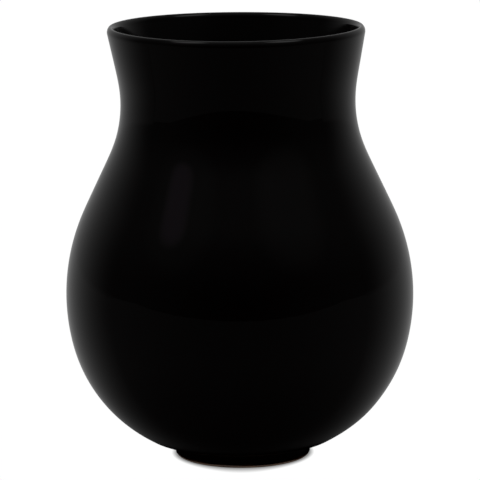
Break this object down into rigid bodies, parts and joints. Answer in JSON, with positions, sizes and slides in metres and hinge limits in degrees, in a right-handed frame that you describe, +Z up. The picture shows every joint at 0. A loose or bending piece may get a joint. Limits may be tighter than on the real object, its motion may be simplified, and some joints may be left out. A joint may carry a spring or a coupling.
{
  "type": "black clay pot",
  "caption": "Free-standing round-bellied clay pot with a long shoulder, waisted neck, flared mouth and turned foot ring, luted from coils and coated in glossy black glaze.",
  "frame": {"origin": "centre of the circle that the foot ring stands on, in the plane of the surface under the pot", "axes": "+Z up along the pot's axis; the pot is round, so X and Y are free"},
  "size_m": [0.224, 0.224, 0.28],
  "materials": {
    "black_glaze": "mirror gloss, near-black, breaking to warm brown where it thins on edges",
    "black_glaze_inside": "gloss, near-black, over shallow throwing rings",
    "clay_body": "matte fired dark brown clay, under the glaze",
    "bare_clay": "matte fired dark brown clay, turned and wiped clean of glaze",
    "slip": "matte fired clay slip"
  },
  "bodies": {
    "root": {"foot_ring": "bare_clay", "foot_slip": "slip", "base_bowl": "clay_body", "belly_slip": "slip", "shoulder": "clay_body", "neck_slip": "slip", "neck": "clay_body", "rim_slip": "slip", "rim_coil": "clay_body", "glaze_inside": "black_glaze_inside", "glaze_outside": "black_glaze"}
  },
  "joints": []
}
